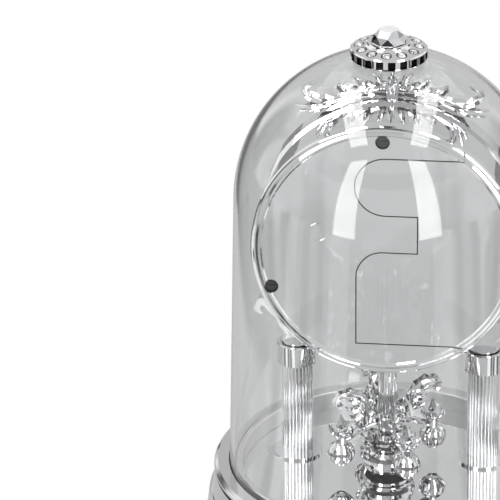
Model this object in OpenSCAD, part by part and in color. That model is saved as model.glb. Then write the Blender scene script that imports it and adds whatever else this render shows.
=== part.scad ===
// Bell jar desk clock: a round plated base, two reeded columns that carry a drum clock with an
// acanthus crest, a turning pendulum with four scroll arms, and a clear dome with a crystal finial.
// The front looks along -Y, +Z is up, and the origin is under the middle of the base.

/* [Base] */
// Width of the base outside the dome's foot
base_w = 12.5; // [11.5:0.5:16]
// Height of the ledge that the dome stands on
seat_z = 38; // [36:0.5:42]
// Height of the straight foot ring
foot_h = 9; // [7:0.5:11]
// How far the step half way up the side lies inside the foot
step_in = 3.8; // [3:0.1:4.4]
// Height of that step
step_z = 24; // [21:0.5:26]
// Width of the rounded shoulder round the dome's foot
shoulder_w = 6.5; // [5:0.1:7]
// Wall of the moulded base
base_wall = 2.4; // [2:0.1:3]
// Depth of the sunk mirror deck below the dome's ledge
deck_drop = 5.5; // [4.5:0.5:7]
// Height of the locating ring above the dome's ledge
locator_h = 2.2; // [1.5:0.1:3]
// Width of the locating ring
locator_w = 2.7; // [2:0.1:3]
// Thickness of the mirror deck
deck_t = 2; // [1.5:0.1:3]
// Thickness of the rubber feet
pad_t = 1.4; // [1.2:0.1:2.5]
// Radius of a rubber foot
pad_r = 6; // [5:0.5:8]
// Thickness of the plate that closes the base
floor_t = 2; // [1.5:0.1:3]

/* [Dome] */
// Gap between the dome and the corner of the front frame
dome_gap = 2.1; // [1.5:0.1:3]
// How much the dome widens to its foot
dome_flare = 3; // [2.6:0.1:3.6]
// Height of the middle of the dome's round top above the case's middle
dome_rise = 17; // [15:0.5:22]
// Thickness of the dome
dome_t = 2; // [1.6:0.1:2.6]

/* [Finial] */
// Outer radius of the plated setting
setting_r = 15.4; // [14.5:0.1:17]
// Height of the setting's pierced wall
setting_h = 4.8; // [4.2:0.1:6]
// Number of windows round that wall
windows = 20; // [12:1:22]
// Width of one window
window_w = 3; // [2.2:0.1:3.4]
// Number of small stones on the setting's slope
stones = 12; // [8:1:14]
// Radius of a small stone
stone_r = 1.7; // [1.4:0.1:1.9]
// Radius of the collar that holds the large crystal
collar_r = 8.6; // [8.2:0.1:9.4]
// Radius of the large crystal
crystal_r = 7.2; // [6.6:0.1:7.4]
// Height of the large crystal above its collar
crystal_h = 6.2; // [5:0.1:8]

/* [Columns] */
// Distance of each column from the middle, sideways
column_x = 39; // [38:0.5:40]
// Distance of the columns in front of the middle
column_y = 13.7; // [13.2:0.1:14.2]
// Radius of a column over its reeds
column_r = 6.6; // [6:0.1:7.2]
// Number of reeds round a column
reeds = 24; // [16:1:28]
// Height of the reeded shaft
column_h = 41.1; // [39:0.1:44]
// Radius of the plain cap
cap_r = 8.6; // [8.2:0.1:9.2]
// Height of the plain cap
cap_h = 9.2; // [8:0.1:11]
// Radius of the thin ring under a column
ring_r = 10.5; // [9.5:0.1:11.5]
// Thickness of that ring
ring_t = 1; // [0.8:0.1:1.5]
// Radius of the rod inside a column
rod_r = 2; // [1.6:0.1:2.2]

/* [Case] */
// Outer radius of the back cover
case_r = 54.2; // [54:0.1:54.5]
// Height of the brackets between the caps and the frame
bracket_h = 16.6; // [15:0.1:18]
// Room between the setting knob and the battery door
knob_room = 1; // [0.8:0.1:1.6]
// Depth of the back cover, skirt and all
cover_d = 4.8; // [4.4:0.1:5.2]
// Wall of the case and its covers
case_wall = 1.8; // [1.5:0.1:2]
// Distance in front of the middle where the front frame ends
frame_back_y = 10.7; // [10.2:0.1:11.2]
// How far the front frame stands out beyond the back cover
frame_over = 0.3; // [0.2:0.1:0.6]
// Depth of the front frame's outer wall
frame_d = 10.2; // [9.8:0.1:10.6]
// Width of the front frame's face
bezel_w = 5; // [4.5:0.1:6.5]
// Thickness of the lens
lens_t = 1.5; // [1:0.1:2]
// Room for the hands between dial and lens
hand_room = 5.5; // [5.2:0.1:6]
// Thickness of the dial
dial_t = 0.8; // [0.6:0.1:1]
// Radius of the screw holes in the back cover
screw_hole_r = 2.9; // [2.6:0.1:3.2]

/* [Battery door] */
// How far the door's straight side lies inside the rim
door_cut_in = 22.7; // [22:0.1:24]
// How far the door's top edge lies inside the rim
door_top_in = 14.4; // [13.5:0.1:16]
// How far the door's low edge lies inside the rim
door_low_in = 13.2; // [12:0.1:14]
// Height of the finger tab
tab_h = 24.2; // [22:0.1:25]
// Reach of the low half of the door past the middle
door_reach = 11.5; // [10.5:0.1:12.5]
// Where the notch under the tab ends, sideways
notch_x = 13.2; // [12.4:0.1:14]
// Low edge of that notch below the case's middle
notch_low = 1; // [0.6:0.1:1.6]
// Corner radius of the door's low half
door_corner_r = 10.5; // [8:0.1:12]
// Gap round the door
door_gap = 0.5; // [0.35:0.05:0.6]

/* [Movement] */
// Room for the spring of the battery contact
spring_room = 1.8; // [1.2:0.1:2.4]
// Room between the minute wheel and the battery bay
wheel_room = 3.2; // [2:0.1:3.6]
// Depth of the movement
movement_d = 15; // [14.6:0.1:15.4]
// Distance between the hands and the setting arbor
arbor_gap = 9.6; // [9.4:0.1:10]
// Teeth of the cannon pinion
cannon_teeth = 12; // [12:1:12]
// Teeth of the minute wheel
minute_wheel_teeth = 36; // [36:1:36]
// Teeth of the minute pinion
minute_pinion_teeth = 10; // [10:1:10]
// Teeth of the hour wheel
hour_wheel_teeth = 40; // [40:1:40]
// Radius of the setting knob
knob_r = 5; // [4.4:0.1:5.2]
// Radius of the dry cell
cell_r = 7.1; // [6.8:0.1:7.2]
// Length of the dry cell without its nub
cell_l = 49.2; // [48:0.1:49.5]

/* [Hands] */
// Length of the minute hand
minute_l = 38; // [32:0.5:42]
// Length of the hour hand
hour_l = 26; // [20:0.5:30]
// Thickness of the hands
hand_t = 0.5; // [0.4:0.1:0.8]

/* [Pendulum] */
// Gap between the pendulum's cup and the deck
cup_lift = 2.2; // [1.5:0.1:3]
// Radius of the cup at its widest
cup_r = 11.6; // [10.8:0.1:12.4]
// Height of the cup
cup_h = 8; // [7:0.1:9]
// Radius of the fluted rod
stem_r = 3.9; // [3.5:0.1:4.2]
// Distance of the ball cups from the middle
ball_reach = 20.6; // [19.5:0.1:21.5]
// Radius of a ball cup
ball_r = 5.7; // [5.2:0.1:6]
// Height of the ball cups' centres above the deck
ball_lift = 12.2; // [11.5:0.1:13]
// Height of the scroll arms above the balls' centres
arm_rise = 27; // [24:0.5:28.5]
// Turn of the arms at rest
arm_turn = 28; // [0:1:89]

/* [Crest] */
// How far the crest's tips lie inside the front frame's edge
crest_in = 15; // [14.5:0.5:19]
// Height of the crest above the front frame
crest_h = 10; // [8:0.5:10.5]
// Thickness of the crest
crest_t = 4.5; // [3.5:0.1:5]
// Height of the crest's solid body over the frame
crest_body_h = 5; // [3:0.5:6]

/* [Hidden] */
$fn = 72;

// Shared fits
cut = 0.5;        // overrun of every cut
fit = 0.1;        // gap of fixed pieces that slip together
run = 0.06;       // radial gap of a running shaft
clear = 0.4;      // gap between the dome and its locating ring
rod_fit = 0.2;    // gap round a screw or a tie rod
seat_gap = 0.2;   // gap under a piece that is set against another
edge = 1;         // size of a broken edge
round_n = 120;    // corners of a flat circle that meets a turned piece

// Front frame, dial and case, from front to back
plate_y = -frame_back_y;
dial_y = plate_y - dial_t;
lens_y = dial_y - hand_room;
lip_y = lens_y - lens_t;
frame_edge_y = plate_y - frame_d;
bezel_h = 1.7;
frame_y = frame_edge_y - bezel_h;
frame_r = case_r + frame_over;
frame_in_r = frame_r - case_wall;
view_r = frame_r - bezel_w;
drum_step = 0.6;
drum_r = case_r - drum_step;
drum_in_r = drum_r - case_wall;
plate_t = 2;
shell_t = 1.6;
movement_y = plate_y + plate_t;
movement_back_y = movement_y + movement_d;
arbor_out = 4;
knob_over = 0.8;
knob_y = movement_back_y + arbor_out + knob_over;
panel_sink = 0.9;
panel_in_y = knob_y + knob_room;
panel_y = panel_in_y + case_wall;
back_y = panel_y + panel_sink;
seam_y = back_y - cover_d;
bead_w = 1.5;
groove_seam = 0.5;

// Dome
dome_r = norm([frame_r, frame_edge_y]) + dome_gap + dome_t;
dome_foot_r = dome_r + dome_flare;

// Base
base_r = dome_foot_r + base_w;
step_r = base_r - step_in;
shoulder_r = dome_foot_r + shoulder_w;
deck_z = seat_z - deck_drop;
well_r = dome_foot_r - dome_t - clear - locator_w;
locator_r = well_r + locator_w;
web_z = deck_z - deck_t - base_wall;
groove_d = 1.4;
groove_h = 1.1;
shoulder_h = 3.2;
lip_h = 0.4;
floor_r = base_r - base_wall - fit;
pad_reach = floor_r - 2 * pad_r;
pad_turn = 45;
boss_r = 4;
boss_reach = well_r - 2 * boss_r;
pilot_r = 1.2;
pilot_h = 14;
base_screws_n = 3;
screw_head_r = 2.8;
screw_head_h = 1.1;

// Columns
column_z = deck_z + ring_t;
cap_z = column_z + column_h;
cap_top = cap_z + cap_h;
cap_rim = 1.2;
cap_sink = 1.6;
reed_r = 0.8;
nut_w = 3.6;
nut_h = 2.4;
tie_over = 4;
tie_top = cap_top + tie_over;

// Height of the case: its frame stands on the brackets
ring_foot = sqrt(frame_r * frame_r - column_x * column_x);
case_z = cap_top + bracket_h + ring_foot;
dome_z = case_z + dome_rise;
dome_top = dome_z + dome_r;
dome_wall_h = dome_z - seat_z;

// Screws and the date mark in the back cover
case_boss_r = 3.6;
screw_spot_share = [[0.022, 0.869], [0.849, -0.317]];
screw_spots = [for (q = screw_spot_share) q * case_r];
hidden_share = [-0.701, -0.3875];
hidden_spot = hidden_share * case_r;
head_sink = 1.2;
head_h = 1.4;
head_gap = 0.3;
slot_w = 0.6;
mark_r = 4;
mark_h = 0.25;
mark_share = [0.498, 0.131];
mark_spot = mark_share * case_r;

// Battery door
door_cut_x = case_r - door_cut_in;
door_top = case_r - door_top_in;
door_low = case_r - door_low_in;
tab_r = tab_h / 2;
ledge_w = 1.5;
bay_floor_t = 1.5;
bay_floor_y = seam_y - edge;
bay_out_y = seam_y + 2 * head_sink;
peg_r = 1.3;
peg_share = [[-0.775, 0.221], [-0.369, -0.627]];
peg_spots = [for (q = peg_share) q * case_r];

// Motion work: the hour hand turns once while the minute hand turns twelve times
cannon_m = 2 * arbor_gap / (cannon_teeth + minute_wheel_teeth);
hour_m = 2 * arbor_gap / (minute_pinion_teeth + hour_wheel_teeth);
tip_share = 0.8;
minute_wheel_r = (minute_wheel_teeth / 2 + tip_share) * cannon_m;
arbor_angle = 250;
arbor_x = arbor_gap * cos(arbor_angle);
arbor_z = arbor_gap * sin(arbor_angle);
wheel_t = 1.2;
wheel_gap = 0.4;
wheel_apart = 0.7;
pinion_extra = 0.2;
hour_y = movement_y + shell_t + wheel_gap;
minute_y = hour_y + wheel_t + wheel_apart;
wheel_end_y = minute_y + wheel_t;
arbor_r = 1.3;
pivot_r = 0.9;
pivot_l = 0.9;
tube_t = 0.8;
tube_r = arbor_r + run + tube_t;
bush_in_r = tube_r + run;
bush_r = 4;
bush_out = 2.2;
bush_y = dial_y - bush_out;
fixing_r = 6.4;
fixing_t = 1.6;
post_r = 3;
post_gap = 1;
post_y = wheel_end_y + post_gap;
post_deep = 3;
post_end = 0.4;
knob_h = 3.2;
knob_gap = 0.3;
knob_neck_r = 2.4;
knob_notch_r = 0.4;
knob_notches = 18;

// Movement and dry cell, placed about the case's middle
nub_h = 1;
nub_r = 2.75;
contact_t = 0.4;
contact_r = 4;
spring_r = 3;
movement_w = cell_l + nub_h + spring_room + 2 * (shell_t + contact_t);
half_w = movement_w / 2;
cell_floor_gap = 0.2;
cell_side_gap = 0.3;
bay_x = arbor_x - minute_wheel_r - wheel_room - shell_t;
cell_x = bay_x - cell_side_gap - cell_r;
movement_x0 = cell_x - cell_r - cell_side_gap - shell_t;
movement_x1 = movement_x0 + movement_w;
cell_y = movement_y + shell_t + cell_r + cell_floor_gap;
cell_top = half_w - shell_t - contact_t - nub_h;
cell_low = cell_top - cell_l;

// Hands, at eight minutes past ten
tube_out = 0.5;
hand_gap = 0.6;
hand_ring = 1.6;
hour_hand_y = bush_y - tube_out;
minute_hand_y = hour_hand_y - hand_t - hand_gap;
minute_angle = 48;
hour_angle = -56;
hand_nut_r = 2.2;
hand_nut_t = 1.2;

// Pendulum drive
drive_w = 28;
drive_side_gap = 0.5;
drive_low = case_z - sqrt(drum_in_r * drum_in_r - drive_w * drive_w / 4) + drive_side_gap;
drive_gap = 4;
drive_h = case_z - half_w - drive_gap - drive_low;
drive_back = bay_floor_y - drive_side_gap;
drive_room = drive_h - 2 * shell_t;
bearing_r = 3;
flange_w = 1;
flange_t = 1;
collar_z = drive_low + shell_t + flange_t;
spindle_r = 1.5;
spindle_in = 8;
spindle_share = 0.56;
spindle_up = spindle_share * drive_room;
shoulder_t = 1;
shoulder_in_r = 2.6;
magnet_r = 4.4;
magnet_share = 0.28;
magnet_h = magnet_share * drive_room;
coil_r = 6.6;
coil_w = 1.4;
coil_h = spindle_share * drive_room;

// Pendulum
cup_z = deck_z + cup_lift;
cup_top = cup_z + cup_h;
ball_z = deck_z + ball_lift;
stem_up = 3;
stem_low = cup_top + stem_up;
stem_gap = 1.2;
stem_top = drive_low - stem_gap;
stem_hole_gap = 0.8;
stem_hole_r = stem_r + stem_hole_gap;
flutes = 8;
flute_r = 1.1;
flute_out = 0.6;
calyx_h = 9.4;
calyx_low_share = 0.86;
calyx_z = cup_z + calyx_low_share * cup_h;
petal_count = 8;
petal_w = 4.8;
petal_t = 1.3;
petal_reach = 5.2;
petal_h = 6;
petal_seat_share = 0.5;
petal_in_r = petal_seat_share * cup_r + fit;
petal_rise_share = 0.22;
hub_r = 5.2;
hub_h = 6;
arm_w = 3.2;
arm_t = 3.2;
hub_rise_share = 0.4;
hub_z = ball_z + hub_rise_share * arm_rise - hub_h / 2;
ball_top_share = 0.78;
ball_top = ball_top_share * ball_r;
ball_ribs = 12;
ball_rib_turn = 17;
arm_ring_r = 2.2;
arm_ring_h = 2.8;
crown_z = ball_top + arm_ring_h;
crown_h = 2.4;
crown_r = 1.7;
crown_leaf_t = 2.4;
spear_r = 2.1;
spear_h = 8;

// Finial
finial_low = dome_z + sqrt(dome_r * dome_r - (setting_r - edge) * (setting_r - edge));
finial_screw_r = 1.5;
finial_head_r = 3;
finial_head_h = 1.4;
washer_r = 4;
washer_t = 0.7;
washer_z = dome_z + sqrt((dome_r - dome_t) * (dome_r - dome_t) - washer_r * washer_r) - washer_t - fit / 2;
window_d = 1.2;
window_rim = 0.7;
slope_h = 1.2;
collar_step = 0.6;
stone_seat = 0.6;
stone_ring_r = (setting_r + collar_r) / 2;
crystal_sink = 1;
collar_h = setting_h + slope_h + 2 * collar_step;

// Tools for the shapes
function sized(S, w, h) = [for (q = S) [q[0] * w, q[1] * h]];
module along_y(y0, y1) translate([0, y1, 0]) rotate([90, 0, 0]) linear_extrude(y1 - y0) children();
module case_along_y(y0, y1) translate([0, 0, case_z]) along_y(y0, y1) children();
module case_turned(points) translate([0, 0, case_z]) rotate([-90, 0, 0]) rotate_extrude() polygon(points);
module rod_y(r, y0, y1, x = 0, z = 0) translate([x, y0, case_z + z]) rotate([-90, 0, 0])
    cylinder(r = r, h = y1 - y0);
module box_y(x0, x1, y0, y1, z0, z1) translate([x0, y0, case_z + z0]) cube([x1 - x0, y1 - y0, z1 - z0]);
module both_sides() {
    children();
    mirror([1, 0, 0]) children();
}

// A smooth line through chosen points
function smooth(a, b, c, d, t) = 0.5 * (2 * b + (c - a) * t + (2 * a - 5 * b + 4 * c - d) * t * t
    + (3 * b - a - 3 * c + d) * t * t * t);
function along(P, s) = let(n = len(P) - 1, i = min(floor(s * n), n - 1))
    smooth(P[max(i - 1, 0)], P[i], P[i + 1], P[min(i + 2, n)], s * n - i);

// A point beside that line, at a share of the leaf's half width, with the leaf's lobes
near_share = 0.02;
function beside(P, W, s, lobes, depth, across) = let(c = along(P, s),
    d = along(P, min(s + near_share, 1)) - along(P, max(s - near_share, 0)),
    w = along(W, s) / 2 * (1 + depth * cos(360 * lobes * s)))
    c + [-d[1], d[0]] / norm(d) * across * w;

// An acanthus blade swept along the line: both halves of the leaf, with the vein between them
half_share = [[0, 0.3], [0.55, 0.5], [1, 0], [0.55, -0.5], [0, -0.3]];
taper_share = 0.35;
function half_ring(P, W, t, s, lobes, depth, way) = [for (q = half_share)
    concat(beside(P, W, s, lobes, depth, q[0] * way), q[1] * t * min(1, taper_share + along(W, s) / W[0]))];
half_faces = [[4, 3, 2, 1, 0], [5, 6, 7, 8, 9], for (j = [0:4]) [j, (j + 1) % 5, (j + 1) % 5 + 5, j + 5]];
module blade(P, W, t, n = 6, lobes = 0, depth = 0) for (i = [0:n - 1], way = [-1, 1])
    hull() polyhedron(concat(half_ring(P, W, t, i / n, lobes, depth, way),
        half_ring(P, W, t, (i + 1) / n, lobes, depth, way)), half_faces);

// The flat outline of such a leaf
module leaf_outline(P, W, n, lobes, depth) polygon(concat(
    [for (i = [0:n]) beside(P, W, i / n, lobes, depth, 1)],
    [for (i = [n:-1:0]) beside(P, W, i / n, lobes, depth, -1)]));

// A cut stone: rings of n corners, each ring turned half a facet against the one below
function gem_id(n, i, j) = i * n + (j + n) % n;
module gem(R, n) {
    points = [for (i = [0:len(R) - 1], j = [0:n - 1]) let(a = 360 / n * (j + (i % 2) / 2))
        [R[i][0] * cos(a), R[i][0] * sin(a), R[i][1]]];
    sides = [for (i = [0:len(R) - 2], j = [0:n - 1]) let(o = i % 2)
        each [[gem_id(n, i, j), gem_id(n, i + 1, j + o), gem_id(n, i, j + 1)],
            [gem_id(n, i + 1, j), gem_id(n, i + 1, j + 1), gem_id(n, i, j + 1 - o)]]];
    low = [for (j = [0:n - 1]) j];
    high = [for (j = [n - 1:-1:0]) (len(R) - 1) * n + j];
    polyhedron(points, concat(sides, [low, high]));
}

// A gear outline with involute flanks, one tooth centred on the X axis
pressure_angle = 25;
root_share = 1.05;
tooth_share = 0.86;
function involute(rb, r) = let(a = acos(min(1, rb / r))) tan(a) * 180 / PI - a;
function gear_flank(z, rb, rp, foot, ro) = [for (i = [0:3]) let(r = foot + (ro - foot) * i / 3)
    [r, 90 / z * tooth_share + involute(rb, rp) - involute(rb, r)]];
function gear_points(z, m) = let(rp = z * m / 2, rb = rp * cos(pressure_angle), ro = rp + tip_share * m,
    ri = rp - root_share * m, flank = gear_flank(z, rb, rp, max(rb, ri), ro))
    [for (i = [0:z - 1]) let(a = 360 * i / z) each concat(
        [[ri * cos(a - flank[0][1]), ri * sin(a - flank[0][1])]],
        [for (q = flank) [q[0] * cos(a - q[1]), q[0] * sin(a - q[1])]],
        [for (j = [3:-1:0]) let(q = flank[j]) [q[0] * cos(a + q[1]), q[0] * sin(a + q[1])]],
        [[ri * cos(a + flank[0][1]), ri * sin(a + flank[0][1])]])];
module gear(z, m, y, w, x0, z0, turn) translate([x0, y + w, case_z + z0]) rotate([90, 0, 0])
    rotate([0, 0, turn]) linear_extrude(w) polygon(gear_points(z, m));

// Base
shell_outer = [[base_r - edge, pad_t], [base_r, pad_t + edge], [base_r, foot_h - edge],
    [base_r - edge, foot_h], [base_r - 2 * edge, foot_h + edge / 2], [step_r, step_z],
    [step_r - edge, step_z + edge / 2], [shoulder_r - edge / 2, seat_z - shoulder_h - groove_h],
    [shoulder_r - groove_d, seat_z - shoulder_h - groove_h], [shoulder_r - groove_d, seat_z - shoulder_h],
    [shoulder_r, seat_z - shoulder_h + edge / 2], [shoulder_r, seat_z - 1.4 * edge],
    [shoulder_r - edge / 2, seat_z - edge / 2], [shoulder_r - 1.6 * edge, seat_z + lip_h],
    [dome_foot_r + clear, seat_z + lip_h], [dome_foot_r + clear, seat_z], [locator_r, seat_z],
    [locator_r, seat_z + locator_h - edge / 2], [locator_r - edge / 2, seat_z + locator_h],
    [well_r + edge / 2, seat_z + locator_h], [well_r, seat_z + locator_h - edge / 2],
    [well_r, deck_z - deck_t], [0, deck_z - deck_t]];
shell_inner = [[0, web_z], [well_r + base_wall, web_z],
    [shoulder_r - groove_d - base_wall, web_z + base_wall], [step_r - base_wall - edge, step_z],
    [base_r - base_wall - 2 * edge, foot_h], [base_r - base_wall, foot_h - edge],
    [base_r - base_wall, pad_t]];
module base_screw_spots() for (i = [0:base_screws_n - 1]) rotate([0, 0, 90 + 360 / base_screws_n * i])
    translate([boss_reach, 0, 0]) children();
module column_spots() both_sides() translate([column_x, -column_y, 0]) children();
module base_shell() color("silver") difference() {
    union() {
        rotate_extrude() polygon(concat(shell_outer, shell_inner));
        base_screw_spots() translate([0, 0, pad_t + floor_t])
            cylinder(r = boss_r, h = web_z - pad_t - floor_t + cut);
    }
    base_screw_spots() translate([0, 0, pad_t + floor_t - cut]) cylinder(r = pilot_r, h = pilot_h + cut);
    column_spots() translate([0, 0, web_z - cut]) cylinder(r = rod_r + rod_fit, h = base_wall + 2 * cut);
}
module bottom_cover() color("dimgray") difference() {
    translate([0, 0, pad_t]) cylinder(r = floor_r, h = floor_t);
    base_screw_spots() translate([0, 0, pad_t - cut]) cylinder(r = pilot_r + rod_fit, h = floor_t + 2 * cut);
}
module base_screws() color("gray") base_screw_spots() {
    difference() {
        translate([0, 0, pad_t - screw_head_h]) cylinder(r = screw_head_r, h = screw_head_h);
        translate([-screw_head_r, -screw_head_h / 4, pad_t - screw_head_h - cut])
            cube([2 * screw_head_r, screw_head_h / 2, cut + screw_head_h / 2]);
    }
    translate([0, 0, pad_t]) cylinder(r = pilot_r - fit / 2, h = pilot_h - edge);
}
module rubber_feet() color("#222222") for (i = [0:3]) rotate([0, 0, pad_turn + 90 * i])
    translate([pad_reach, 0, 0]) cylinder(r1 = pad_r - edge / 2, r2 = pad_r, h = pad_t);
module deck_plate() color("gainsboro") difference() {
    translate([0, 0, deck_z - deck_t]) cylinder(r = well_r - fit, h = deck_t);
    column_spots() translate([0, 0, deck_z - deck_t - cut])
        cylinder(r = rod_r + rod_fit, h = deck_t + 2 * cut);
}

// Columns
module column_rings() color("silver") column_spots() difference() {
    translate([0, 0, deck_z]) cylinder(r = ring_r, h = ring_t);
    translate([0, 0, deck_z - cut]) cylinder(r = rod_r + rod_fit, h = ring_t + 2 * cut);
}
module column() translate([column_x, -column_y, column_z]) difference() {
    linear_extrude(column_h) {
        circle(r = column_r - reed_r);
        for (i = [0:reeds - 1]) rotate(360 / reeds * i) translate([column_r - reed_r, 0]) circle(r = reed_r);
    }
    translate([0, 0, -cut]) cylinder(r = rod_r + rod_fit, h = column_h + 2 * cut);
}
module column_left() color("silver") mirror([1, 0, 0]) column();
module column_right() color("silver") column();
module column_caps() color("gainsboro") column_spots() translate([0, 0, cap_z]) rotate_extrude()
    polygon([[rod_r + rod_fit, 0], [cap_r - edge, 0], [cap_r, edge / 2], [cap_r, cap_h - edge / 4],
        [cap_r - edge / 4, cap_h], [cap_r - cap_rim, cap_h], [cap_r - cap_rim, cap_h - cap_sink],
        [rod_r + rod_fit, cap_h - cap_sink]]);
module tie_rods() color("gray") column_spots() translate([0, 0, web_z - nut_h - edge])
    cylinder(r = rod_r, h = tie_top - web_z + nut_h + edge);
module tie_nuts() color("gray") column_spots() difference() {
    translate([0, 0, web_z - nut_h]) cylinder(r = nut_w, h = nut_h, $fn = 6);
    translate([0, 0, web_z - nut_h - cut]) cylinder(r = rod_r + fit / 2, h = nut_h + 2 * cut);
}

// Front frame with its lens and dial
module front_frame() color("silver") case_turned([[frame_in_r, plate_y], [frame_r, plate_y],
    [frame_r, frame_edge_y + edge / 2], [frame_r - edge / 2, frame_edge_y],
    [frame_r - 1.4 * edge, frame_edge_y], [frame_r - 1.7 * edge, frame_edge_y - bezel_h / 2],
    [frame_r - 2.3 * edge, frame_y + bezel_h / 8],
    [frame_r - 3 * edge, frame_y], [view_r + edge, frame_edge_y + edge / 2], [view_r, lip_y - edge / 2],
    [view_r, lip_y], [frame_in_r, lip_y]]);
module lens() color([0.85, 0.9, 0.95, 0.4]) rod_y(frame_in_r - fit, lip_y, lens_y);
module dial() color("ivory") difference() {
    rod_y(frame_in_r - fit, dial_y, plate_y);
    rod_y(bush_r + fit, dial_y - cut, plate_y + cut);
}
module dial_ring() color("silver") case_turned([[view_r - edge / 2, dial_y], [frame_in_r - fit, dial_y],
    [frame_in_r - fit, lens_y], [view_r + edge, lens_y]]);

// Brackets that stand on the caps and carry the front frame: a core and two curled leaves
bracket_t = 6;
bracket_w = 15;
foot_gap = 0.8;
core_share = [[-0.36, 0], [0.36, 0], [0.24, 0.25], [0.3, 0.6], [0.46, 0.95], [0.55, 1.2], [0.3, 1.4],
    [-0.7, 0.9], [-0.6, 0.58], [-0.34, 0.42], [-0.24, 0.22]];
outer_curl_share = [[0.1, 0.1], [0.32, 0.48], [0.68, 0.9], [1, 1.05], [1.12, 0.86], [0.98, 0.74]];
inner_curl_share = [[-0.1, 0.16], [-0.36, 0.36], [-0.66, 0.38], [-0.86, 0.2], [-0.76, 0.06]];
curl_w_share = [0.26, 0.3, 0.26, 0.22, 0.16, 0.08];
module bracket_layer(t) translate([column_x, 0, cap_top + edge / 2])
    along_y(-column_y - bracket_t / 2 * t, -column_y + bracket_t / 2 * t) children();
module bracket_curl(S, n, lobes)
    leaf_outline(sized(S, bracket_w, bracket_h), curl_w_share * bracket_w, n, lobes, leaf_lobe_share);
module bracket() difference() {
    union() {
        translate([column_x, -column_y, cap_top - cap_sink])
            cylinder(r = cap_r - cap_rim - foot_gap, h = cap_sink + edge);
        bracket_layer(1) polygon(sized(core_share, bracket_w, bracket_h));
        bracket_layer(0.8) bracket_curl(outer_curl_share, 24, 5);
        bracket_layer(0.66) bracket_curl(inner_curl_share, 20, 4);
    }
    rod_y(frame_r + fit / 4, -column_y - bracket_t, -column_y + bracket_t);
    translate([column_x, -column_y, cap_top - cap_sink - cut])
        cylinder(r = rod_r + fit, h = tie_top - cap_top + cap_sink + cut + fit);
}
module bracket_left() color("silver") mirror([1, 0, 0]) bracket();
module bracket_right() color("silver") bracket();

// Acanthus crest, drawn flat and set on top of the front frame, with leaves on both sides
crest_y = frame_edge_y + crest_t / 2 + edge / 2;
crest_w = frame_r - crest_in;
crest_z = case_z + frame_r;
stem_share = [[0.06, 0.2], [0.3, 0.14], [0.55, -0.18], [0.78, -0.52], [1, -0.48]];
curl_share = [[0.5, -0.1], [0.7, -0.3], [0.86, -0.12], [0.9, 0.22], [0.79, 0.5]];
leaf_a_share = [[0.3, 0], [0.44, 0.08], [0.53, 0.28], [0.56, 0.52]];
leaf_b_share = [[0.18, 0.1], [0.26, 0.34], [0.33, 0.58], [0.4, 0.78]];
leaf_c_share = [[0.08, 0.1], [0.12, 0.5], [0.15, 0.8], [0.21, 0.98]];
leaf_d_share = [[0.66, -0.4], [0.76, -0.62], [0.86, -0.76], [0.96, -0.76]];
palm_share = [[0, 0.1], [0, 0.4], [0, 0.75], [0, 1.05]];
leaf_w_share = 0.42;
leaf_lobe_share = 0.16;
bead_share = [0.27, 0.25, 0.16];
bead_rise_share = 0.42;
crest_hold = 27;
body_t_share = 0.7;
hold_z = sqrt(frame_r * frame_r - crest_hold * crest_hold);
body_top = frame_r + crest_body_h;
body_z = (body_top * body_top - frame_r * frame_r) / (2 * (body_top - hold_z));
module crest_leaf(S, w, n = 6, lobes = 3, t = 1) blade(sized(S, crest_w, crest_h),
    [for (q = w) q * leaf_w_share * crest_h], crest_t * t, n, lobes, leaf_lobe_share);
module crest() color("silver") translate([0, crest_y, crest_z]) rotate([90, 0, 0]) difference() {
    union() {
        both_sides() {
            crest_leaf(stem_share, [1.1, 1.3, 1.2, 0.8, 0.2], 10, 5);
            crest_leaf(curl_share, [0.9, 1.1, 1, 0.7, 0.15], 9, 4, 0.92);
            crest_leaf(leaf_a_share, [1.7, 1.5, 0.9, 0.12], 7, 4, 0.84);
            crest_leaf(leaf_b_share, [1.6, 1.4, 0.9, 0.12], 7, 4, 0.9);
            crest_leaf(leaf_c_share, [0.9, 1, 0.7, 0.12], 6, 3, 0.8);
            crest_leaf(leaf_d_share, [0.8, 0.9, 0.6, 0.12], 6, 3, 0.76);
        }
        crest_leaf(palm_share, [0.9, 1.1, 0.8, 0.15], 6, 3, 1.06);
        translate([0, bead_rise_share * crest_h, crest_t / 4]) scale(bead_share * crest_h)
            sphere(r = 1, $fn = 16);
        translate([0, body_z - frame_r, -crest_t * body_t_share / 2])
            cylinder(r = body_top - body_z, h = crest_t * body_t_share, $fn = round_n);
    }
    translate([0, -frame_r, -crest_t]) cylinder(r = frame_r + fit / 2, h = 2 * crest_t, $fn = round_n);
}

// Drum, back cover and battery door
module case_drum() color("silver") difference() {
    union() {
        case_turned([[0, plate_y], [drum_r, plate_y], [drum_r, seam_y - groove_seam],
            [drum_in_r, seam_y - groove_seam], [drum_in_r, plate_y + plate_t], [0, plate_y + plate_t]]);
        for (q = screw_spots) rod_y(case_boss_r, plate_y + plate_t - cut, seam_y, q[0], q[1]);
        rod_y(case_boss_r, plate_y + plate_t - cut, bay_floor_y, hidden_spot[0], hidden_spot[1]);
    }
    for (q = screw_spots) rod_y(pilot_r, seam_y - pilot_h, seam_y + cut, q[0], q[1]);
    rod_y(pilot_r, seam_y - pilot_h, seam_y + cut, hidden_spot[0], hidden_spot[1]);
    rod_y(bush_r + fit, plate_y - cut, plate_y + plate_t + cut);
    translate([0, 0, case_z - case_r - cut]) cylinder(r = stem_hole_r, h = 2 * case_wall + 2 * cut);
}
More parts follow.
